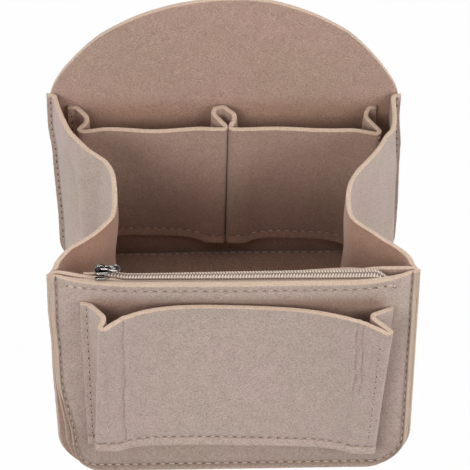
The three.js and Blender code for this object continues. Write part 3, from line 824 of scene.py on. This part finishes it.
def pocketDroop(pocket, x, depth):
    edge = np.where(x < 0, pocket["left"]["edge"], pocket["right"]["edge"])
    corners = pocket["rise"] * np.minimum(np.abs(x) / edge, 1) ** 3
    behind = pocket["backRise"] * ease(depth, 13, 4) * (1 - 0.85 * ease(x, 45, 60))
    return corners + (depth - layer) ** 2 / (2 * (pocket["top"] - pocket["foot"])) - behind


def pocketGrid(pocket, standOff, extra):
    top, foot = pocketLine(pocket, True), pocketLine(pocket, False)
    start = len(sidePleat(pocket["left"], True))
    height = pocket["top"] - pocket["foot"]
    near = np.array([0, 0.8, 1.8, 2.9, 3.9, 4.7, 5.4, 6.1, 7, 8.4, 10.5]) / height
    shares = np.concatenate([near[:-1], np.linspace(near[-1], 0.965, 30), [0.98, 0.992, 1]])
    rows = []
    for share in shares:
        line = foot * (1 - share) + top * share
        x, depth = roundedPath(line, layer / 2, (start, start + len(faceShares)), 5).T
        footZ = pocket["foot"] + pocket["footSlope"] * x
        topZ = pocket["top"] + pocket["topSlope"] * x - pocketDroop(pocket, x, depth)
        z = footZ + (topZ - footZ) * share
        rows.append(np.stack([x, extra(x, z, share) - standOff(x, z) - depth, z], -1))
    return np.array(rows), pocket["pinch"] * dip(shares * height, walls["pocketSeam"])[:, None]


# Standing creases in the pocket's face where it was folded flat
def outerCreases(x, z, share):
    left = dip(x, -58 + share, 1.2) * ease(share, 0.02, 0.15)
    right = (dip(x, 61 + share) + dip(x, 64 + share)) * ease(share, 0.42, 0.6)
    return 0.7 * left + 0.65 * right + 0.6 * frontRipple(x, z) - 1.1 * ease(share, 0.045, 0)


def makeOuterPocket():
    grid, pinch = pocketGrid(outerPocket, lambda x, z: frontRipple(x, z) - outerDepth(x, z), outerCreases)
    x = grid[..., 0] + 0.5 * np.sin(grid[..., 2] / 8 + 1) + 0.3 * np.sin(grid[..., 2] / 3.1)
    share = np.linspace(0, 1, len(grid))[:, None]
    # Painted shade along the creases' lines, and painted inside shade on the pocket's rear side
    onRight = 0.7 * (dip(x, 61.6, 0.6) + dip(x, 64.6, 0.6)) * ease(share, 0.42, 0.6)
    lines = 0.8 * dip(x, -57.6, 0.6) * ease(share, 0.05, 0.2) + onRight
    return feltSheet("outer_pocket", grid, onFront, "front_wall", pinch, inside=(0, 0.3), shade=lines)


def innerWaves(x, z, share):
    wave = 0.7 * np.sin(x / 13 + 1.1) + 0.5 * np.sin(x / 7.3 + z / 30)
    lifted = 1.4 * ease(share, 0.05, 0) * ease(np.abs(x), 84, 78)
    return wave * share * ease(np.abs(x), 6, 16) * ease(np.abs(x), 76, 66) - lifted


def makeInnerPocket():
    grid, pinch = pocketGrid(innerPocket, lambda x, z: -backDepth(x, z), innerWaves)
    # Painted shade on both sides, darker towards the foot
    dim = 0.62 + 0.13 * ease(grid[..., 2], 95, 40)
    return feltSheet("inner_pocket", grid, onBack, "organizer", pinch, inside=(dim, dim))


backPiece = makeBackPanel()
innerPiece, outerPiece = makeFrontPanels()
leftPiece, rightPiece = makeGusset(-1), makeGusset(1)
basePiece = makeBase()
outerPocketPiece, innerPocketPiece = makeOuterPocket(), makeInnerPocket()
print("felt pieces made")


def makeTapes():
    half, thick, clear = zipper["tapeHalf"], zipper["tape"], zipper["clear"] + zipper["tape"] / 2
    under = tapeFoot + thick / 2 - coilMiddle
    low = frontHeight - zipper["tapeDepth"]

    def rearColumn(x):
        top = frontHeight + clear - sheetGives(x)[1]
        behind = float(innerDepth(x, top)) + felt / 2 + clear
        start = onChain(x, zipper["slot"], under)
        start[2] = max(start[2], top)
        ended = float(ease(x, 58, 69))
        top = top - 1.8 * ended
        start = start + np.array([0, behind - start[1], top + 0.4 - start[2]]) * ended
        return [start, (x, behind, top), (x, behind, (top + low) / 2), (x, behind, low)]

    def frontColumn(x):
        column = [onChain(x, -zipper["slot"], under)]
        start = column[0][2]
        for z in (min(start, frontHeight + 0.6), (start + low) / 2 - 1, low - 1):
            column.append((x, float(outerDepth(x, z) + 2 * topEdgeSwell(x, z)) + felt / 2 + clear, z))
        return column

    pieces = []
    for node, column, order in (("zip_tape_rear", rearColumn, -1), ("zip_tape_front", frontColumn, 1)):
        places = np.linspace(-half, half - zipper["tapeEnd"], zipper["tapeColumns"])[::order]
        rows = np.array([roundedPath(np.array(column(x), float), 0.8, (9, 9), 4) for x in places])
        pieces.append(feltSheet(
            node, rows, onFront, "front_wall", thickness=thick, material=wovenTape
        ))
    return pieces


def circle(count):
    return np.linspace(0, 2 * math.pi, count, endpoint=False)


# Faces between rings of points, in the order that the rings are given
def bridge(order, count):
    index = np.array(order)[:, None] * count + np.arange(count)
    onward = np.roll(index, -1, axis=1)
    return np.stack([index[:-1], onward[:-1], onward[1:], index[1:]], -1).reshape(-1, 4).tolist()


def capped(rings, count):
    last = (rings - 1) * count
    return bridge(range(rings), count) + [list(range(count))[::-1], list(range(last, last + count))]


def tube(path, radius, sides=8):
    path = np.asarray(path, float)
    tangent = unit(np.gradient(path, axis=0))
    side = unit(np.cross(tangent, (0, 1, 0) if abs(tangent[0, 2]) > 0.9 else (0, 0, 1)))
    other = np.cross(side, tangent)
    ring = np.stack([side * math.cos(t) + other * math.sin(t) for t in circle(sides)], 1)
    return (path[:, None] + ring * radius).reshape(-1, 3), capped(len(path), sides)


def joined(parts):
    points, faces, start = [], [], 0
    for partPoints, partFaces in parts:
        points.append(partPoints)
        faces += [[v + start for v in face] for face in partFaces]
        start += len(partPoints)
    return np.concatenate(points), faces


# One row of coil turns: flattened loops that reach over the middle. The cords in and over them are
# tubes at places v and w, with a radius and a tone of painted shade that darkens the gaps between turns.
def makeCoil(node, side, offset):
    turns, pitch, wire, width = zipper["turns"], zipper["pitch"], zipper["wire"], zipper["width"]
    start, tall = zipper["start"] + offset, zipper["height"] / 2 - wire
    angle = np.linspace(0, 2 * math.pi * turns, turns * 14 + 1)
    across = (width + zipper["reach"]) / 2 - wire
    x = start + pitch * (angle / (2 * math.pi) + 0.22 * np.sin(angle))
    v = side * ((width - zipper["reach"]) / 2 + across * np.cos(angle))
    coil = tube(onChain(x, v, tall * np.sin(angle) * (1 + 0.18 * np.cos(2 * angle) ** 2)), wire, 6)
    turn = np.linspace(0, turns, 6 * turns + 1)
    dots = 0.75 + 0.25 * np.cos(2 * math.pi * turn)
    cords = [(1.85, 0.1, 0.5, 0.55), (1.15, 0.1, 0.5, 0.5), (0.5, -0.05, 0.5, 0.65), (0.12, 0.78, 0.2, dots)]
    if side < 0:
        cords.append((2.34, 0, 0.38, dots))
    parts, shade = [coil], [np.zeros(len(coil[0]))]
    for v, w, radius, tone in cords:
        parts.append(tube(onChain(start + turn * pitch, side * v, w), radius, 6))
        shade.append(np.repeat(tone * np.ones(len(turn)), 6))
    points, faces = joined(parts)
    # The mark named seam carries the cords' painted shade
    marks = {"seam": np.concatenate(shade)}
    addPiece(node, onFront(points), faces, nylonCoil, "front_wall", marks)


tapePieces = makeTapes()
makeCoil("zip_coil_rear", 1, 0)
makeCoil("zip_coil_front", -1, zipper["pitch"] / 2)
print("zip made")

# Slider and pull, about the slider's middle: u along the chain, v to the rear, w up

slider = {
    "at": -67.5, "bevel": 0.24, "plate": (1.2, 2.0), "underPlate": (-2.5, -1.8), "lip": 0.42,
    "lipHeights": (1.0, -1.6), "lipFrom": (-2.2, 1.2), "postSpan": (-2.0, 1.4, 0.1), "strap": (1.7, 0.6),
    "outline": [
        (-3.0, 0), (-2.9, 2.3), (-2.3, 3.2), (-1.2, 3.4), (0.8, 3.2), (2.8, 2.7), (3.9, 2.2), (4.2, 1.2),
    ],
    "post": [(-2.6, 0.7), (-1.6, 0.9), (-0.8, 0), (-1.6, -0.9), (-2.6, -0.7)],
    "bail": [(-2.9, 1.7), (-2.5, 3.3), (-1.2, 4.3), (0.6, 4.5), (1.9, 3.5), (2.3, 1.7)],
}
pull = {
    "height": 2.9, "thick": 0.8, "bevel": 0.18, "rim": 0.3, "rimInset": 0.5, "rimSunk": 0.15, "tilt": 4,
    "outline": [
        (-0.9, 0), (-0.7, 1.1), (0.3, 1.7), (2.6, 1.7), (4.2, 2.3), (6.2, 2.75), (8.2, 2.6), (9.5, 1.6),
        (9.9, 0),
    ],
    "slot": [
        (0.2, 0), (0.3, 0.55), (0.7, 0.85), (1.6, 0.9), (2.4, 0.9), (2.9, 0.8), (3.2, 0.5), (3.3, 0.2),
        (3.35, 0),
    ],
}


# A smooth loop from the points of one side
def bothSides(half):
    half = np.array(half, float)
    other = half[half[:, 1] != 0] * [1, -1]
    return throughPoints(np.concatenate([half, other[::-1]]), 48, closed=True)


def setIn(loop, distance):
    along = np.roll(loop, -1, axis=0) - np.roll(loop, 1, axis=0)
    outward = unit(np.stack([along[:, 1], -along[:, 0]], -1))
    if ((outward * (loop - loop.mean(0))).sum(-1) < 0).mean() > 0.5:
        outward = -outward
    return loop - outward * distance


def level(loop, height):
    return np.column_stack([loop, np.full(len(loop), height)])


# A plate with rounded rims, and a hole where one is given
def roundedPlate(outline, low, high, bevel, hole=None):
    steps = [(2.4 * bevel, low), (bevel, low), (0.3 * bevel, low + 0.3 * bevel), (0, low + bevel)]
    steps += [(inset, high + low - height) for inset, height in steps[::-1]]
    rings = [level(setIn(outline, inset), height) for inset, height in steps]
    count, last = len(outline), (len(steps) - 1) * len(outline)
    if hole is not None:
        rings += [level(hole, high), level(hole, low)]
        return np.concatenate(rings), bridge([*range(len(rings)), 0], count)
    middle, base = outline.mean(0), last + count
    faces = bridge(range(len(rings)), count)
    faces += [[(k + 1) % count, k, base] for k in range(count)]
    faces += [[last + k, last + (k + 1) % count, base + 1] for k in range(count)]
    return np.concatenate([*rings, [[*middle, low]], [[*middle, high]]]), faces


# A flat strap bent along a path in the plane of u and w
def bentStrap(path, width, thick):
    line = throughPoints([(u, 0, w) for u, w in path], 26)
    side = np.array([0.0, 1.0, 0.0])
    normal = np.cross(unit(np.gradient(line, axis=0)), side)
    rings = []
    for turn in circle(12):
        c, s = math.cos(turn), math.sin(turn)
        across, over = (math.copysign(abs(part) ** 0.6, part) / 2 for part in (c, s))
        rings.append(line + side * width * across + normal * thick * over)
    return np.stack(rings, 1).reshape(-1, 3), capped(len(line), 12)


def onSlider(points):
    u, v, w = np.moveaxis(np.asarray(points, float), -1, 0)
    forward = chainHang(slider["at"])[0]
    return onFront(np.stack([slider["at"] + u, v - zipper["setback"] - forward, coilMiddle + w], -1))


def makeSlider():
    outline, bevel = bothSides(slider["outline"]), slider["bevel"]
    parts = [roundedPlate(outline, *slider[key], bevel) for key in ("plate", "underPlate")]
    parts.append(bentStrap(slider["bail"], *slider["strap"]))
    parts.append(roundedPlate(throughPoints(slider["post"], 20, closed=True), *slider["postSpan"]))
    rim, (fromU, fromV) = setIn(outline, slider["lip"] * 0.8), slider["lipFrom"]
    for sign in (1, -1):
        edge = rim[(rim[:, 0] > fromU) & (rim[:, 1] * sign > fromV)]
        edge = edge[np.argsort(edge[:, 0])]
        parts += [tube(level(edge, height), slider["lip"]) for height in slider["lipHeights"]]
    points, faces = joined(parts)
    addPiece("zip_slider", onSlider(points), faces, darkNickel, "zip_slider")


def makePull():
    outline, height, thick = bothSides(pull["outline"]), pull["height"], pull["thick"]
    low, high = height - thick / 2, height + thick / 2
    parts = [roundedPlate(outline, low, high, pull["bevel"], bothSides(pull["slot"]))]
    for rimHeight in (low + pull["rimSunk"], high - pull["rimSunk"]):
        loop = level(setIn(outline, pull["rimInset"]), rimHeight)
        parts.append(tube(np.concatenate([loop, loop[:1]]), pull["rim"]))
    points, faces = joined(parts)
    tilt = math.radians(pull["tilt"])
    u, v, w = points.T
    w = height + (w - height) * math.cos(tilt) - u * math.sin(tilt)
    place = onSlider(np.stack([u, v, w], -1))
    addPiece("zip_pull", place, faces, darkNickel, "zip_pull")


makeSlider()
makePull()
print("slider and pull made")

# Seams: stitches and needle holes as dark discs of painted shade, one mesh of each for a body

thread = {
    "radius": 0.3, "sunk": 0.12, "gap": 1.9, "lift": (-0.3, 0.15, 0.22, 0.15, -0.3), "wander": 0.1,
    "hole": (0.9, 0.37), "holeScatter": 0.18, "holeSides": 10, "holeRim": 0.05, "holeMiddle": 0.02,
}
stitches = {"organizer": ([], []), "front_wall": ([], [])}
ahead, behind, downward = np.array([0.0, 1, 0]), np.array([0.0, -1, 0]), np.array([0.0, 0, -1])


def spacedAlong(path, pitch):
    path = np.asarray(path, float)
    lengths = np.concatenate([[0], np.cumsum(np.linalg.norm(np.diff(path, axis=0), axis=1))])
    marks = np.linspace(0, lengths[-1], max(int(lengths[-1] / pitch), 1) + 1)
    return np.stack([np.interp(marks, lengths, path[:, k]) for k in range(3)], -1)


def holeShadeDisc(centre, run, normal, size):
    side, sides = np.cross(normal, run), thread["holeSides"]
    long, wide = np.array(thread["hole"]) * mm * size * (1 + thread["holeScatter"] * rng.normal(size=2))
    rise, points = normal * thread["holeRim"] * mm, []
    for t in circle(sides):
        points.append(centre + run * math.cos(t) * long + side * math.sin(t) * wide + rise)
    points.append(centre + normal * thread["holeMiddle"] * mm)
    return np.array(points) / mm, [[k, (k + 1) % sides, sides] for k in range(sides)]


# Lays stitches on a piece: the path is in the wall's own millimetres, and each mark is moved
# along the heading until it meets the felt
def sew(piece, path, place, heading, pitch=4.8, size=1, radius=1, start=30):
    mesh = piece.data
    tree = BVHTree.FromPolygons([v.co for v in mesh.vertices], [tuple(p.vertices) for p in mesh.polygons])
    marks = spacedAlong(path, pitch)
    hits = []
    for origin, ray in zip(place(marks - heading * start), unit(place(marks + heading) - place(marks))):
        spot, normal, _, _ = tree.ray_cast(Vector(origin), Vector(ray))
        if spot is not None:
            normal = np.array(normal)
            spot = np.array(spot), -normal if normal @ ray > 0 else normal
        hits.append(spot)
    threads, holeShades = stitches["front_wall" if place is onFront else "organizer"]
    for first, second in zip(hits[:-1], hits[1:]):
        if first is None or second is None:
            continue
        (a, normalA), (b, normalB) = first, second
        length = np.linalg.norm(b - a)
        if length > 1.9 * pitch * mm:
            continue
        run, normal = (b - a) / length, unit(normalA + normalB)
        gap = min(thread["gap"] * mm / 2, length / 3)
        a = a + np.cross(normal, run) * rng.normal(0, thread["wander"]) * mm
        heights = (np.array(thread["lift"]) - thread["sunk"]) * mm
        line = [a + run * s + normal * h for s, h in zip(np.linspace(gap, length - gap, 5), heights)]
        threads.append(tube(np.array(line) / mm, thread["radius"] * radius, 6))
        holeShades.append(holeShadeDisc(first[0], run, normalA, size))


# A seam's path down one side, round the corners of the foot and up the other side
def roundedSides(half, top):
    radius, wide, inset = corner - walls["seamAt"], half - corner, walls["seamAt"]
    path = [(inset - half, 0, top)]
    for centre, start in ((-wide, math.pi), (wide, 1.5 * math.pi)):
        for t in np.linspace(start, start + quarter, 14):
            path.append((centre + radius * math.cos(t), 0, corner + radius * math.sin(t)))
    return [*path, (half - inset, 0, top)]


frontSeam = spacedAlong(roundedSides(frontHalf, 128.5), 1.5)
frontSeam[:, 0] += cornerPull(frontSeam[:, 0], frontSeam[:, 2])
sew(outerPiece, frontSeam, onFront, ahead)
sew(backPiece, roundedSides(backHalf, 125), onBack, behind)
for side, gusset in ((-1, leftPiece), (1, rightPiece)):
    for edge, place, heading in ((backHalf - 2.1, onBack, ahead), (frontHalf - 2, onFront, behind)):
        sew(gusset, [(side * edge, 0, 126), (side * edge, 0, 18)], place, heading, start=9)

# The zip's seam, with back stitches at both ends
line = zipper["stitchHeight"]
sew(outerPiece, [(-81, 0, line), (80, 0, line)], onFront, ahead, 5, 0.6)
for first, last in ((-84, -76), (71, 80)):
    for z in (line, line - 0.5):
        sew(outerPiece, [(first, 0, z), (last, 0, z)], onFront, ahead, 4, 0.6, 1.7)

# The outer pocket's foot, then its folds and its left edge from the top down
low, slope = outerPocket["foot"] + walls["pocketSeam"], outerPocket["footSlope"]
edge, high = -outerPocket["left"]["edge"] - 1.3, outerPocket["top"] - 4
for path, pitch, size in (
    ([(-73, 0, low - 73 * slope), (74, 0, low + 74 * slope)], 4.5, 0.8),
    ([(72.6, 0, 100), (71.5, 0, 60), (70.5, 0, low)], 4.2, 0.62),
    ([(-66.6, 0, 100), (-65.5, 0, low)], 4.6, 0.35), ([(edge, 0, high), (edge, 0, low)], 4.6, 0.8),
):
    sew(outerPocketPiece, path, onFront, ahead, pitch, size)

# The inner pocket's foot, its edges and the short seams at its loop
low, slope = innerPocket["foot"] + walls["pocketSeam"], innerPocket["footSlope"]
sew(innerPocketPiece, [(-74, 0, low - 74 * slope), (74, 0, low + 74 * slope)], onBack, ahead, 4.5, 0.3)
for side in (-1, 1):
    edge = side * (innerPocket["left"]["edge"] + 2.2)
    sew(innerPocketPiece, [(edge, 0, 116), (edge, 0, low)], onBack, ahead)
    sew(innerPocketPiece, [(side * 4.6, 0, 117), (side * 1.8, 0, 117)], onBack, ahead, 1.4, 0.5)

# The base's front and rear seams
for y in (rearPlane(0) - 2.5, frontPlane(0) + 2.5):
    sew(basePiece, [(-70, y, 8), (70, y, 8)], upright, downward, 4.4, 0.8)

for body, label in (("organizer", "organizer"), ("front_wall", "frontWall")):
    for kind, parts, material in zip(("Stitches", "NeedleHoleShades"), stitches[body], (threadBeige, needleHoleShade)):
        points, faces = joined(parts)
        addMesh(label + kind, points * mm, faces, material, body)
print("seams made:", sum(len(threads) for threads, _ in stitches.values()), "stitches")

# Felt and tape pieces and the pieces they rest on

ends = ["backPanel", "frontInnerPanel"]
for piece, restsOn in (
    (leftPiece, ends), (rightPiece, ends), (basePiece, ends), (outerPocketPiece, ["frontPanel"]),
    (innerPocketPiece, ["backPanel"]), (tapePieces[0], ["frontInnerPanel"]), (tapePieces[1], ["frontPanel"]),
):
    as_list(restsOn)

# Light and ground, in metres and watts. Each lamp has the size of its disk, its power and its place.

light = {
    "world": 0.3, "floor": 0.3, "floorWhite": 0.985, "floorHalf": 6, "aim": (0, 0, 0.08),
    "lamps": {
        "keyLight": (1.2, 21, (-0.9, -1.6, 1.15)), "fillLight": (1.2, 17, (1.5, -1.3, 1.1)),
        "highLight": (0.3, 2.2, (-0.2, -0.9, 1.7)), "topLight": (1.0, 11, (0.0, 0.3, 2.1)),
        "leftLight": (0.8, 11.5, (-1.7, 0.45, 0.75)), "rightLight": (0.8, 15, (1.7, 0.45, 0.75)),
    },
}


def addLight(name, size, power, at):
    data = bpy.data.lights.new(name, "AREA")
    data.shape, data.size, data.energy = "DISK", size, power
    lamp = bpy.data.objects.new(name, data)
    bpy.context.scene.collection.objects.link(lamp)
    lamp.location = at
    lamp.rotation_euler = (Vector(light["aim"]) - Vector(at)).to_track_quat("-Z", "Y").to_euler()


# Mixes a white shader over a plain one where the camera looks, straight or by way of gloss or glass
def whiteSeen(tree, output, plain, white, share):
    camera, glossy, through = (
        tree.add("LightPath", output=f"Is {kind} Ray") for kind in ("Camera", "Glossy", "Transmission")
    )
    seen = tree.maths("MAXIMUM", tree.maths("MAXIMUM", camera, glossy), through) * share
    tree.add(output, {}, {0: tree.add("MixShader", {}, {0: seen, 1: plain, 2: white})})


def makeWorld():
    world = bpy.data.worlds.new("studio")
    bpy.context.scene.world = world
    tree = Nodes(world)
    tree.nodes.clear()
    plain = tree.add("Background", {}, {"Color": (1, 0.99, 0.975), "Strength": light["world"]})
    white = tree.add("Background", {}, {"Color": (1, 1, 1), "Strength": 1})
    whiteSeen(tree, "OutputWorld", plain, white, 1)


def makeGround():
    material = bpy.data.materials.new("paleGround")
    tree, half = Nodes(material), light["floorHalf"]
    tree.nodes.clear()
    matt = tree.add("BsdfDiffuse", {}, {"Color": [light["floor"]] * 3})
    whiteSeen(tree, "OutputMaterial", matt, tree.add("Emission", {}, {"Strength": 1}), light["floorWhite"])
    corners = [(-half, -half, 0), (half, -half, 0), (half, half, 0), (-half, half, 0)]
    addMesh("ground", corners, [[0, 1, 2, 3]], material, None, smooth=False)


for name, values in light["lamps"].items():
    addLight(name, *values)
makeWorld()
makeGround()
bpy.context.scene.view_settings.view_transform = "Standard"
print("light and ground made")
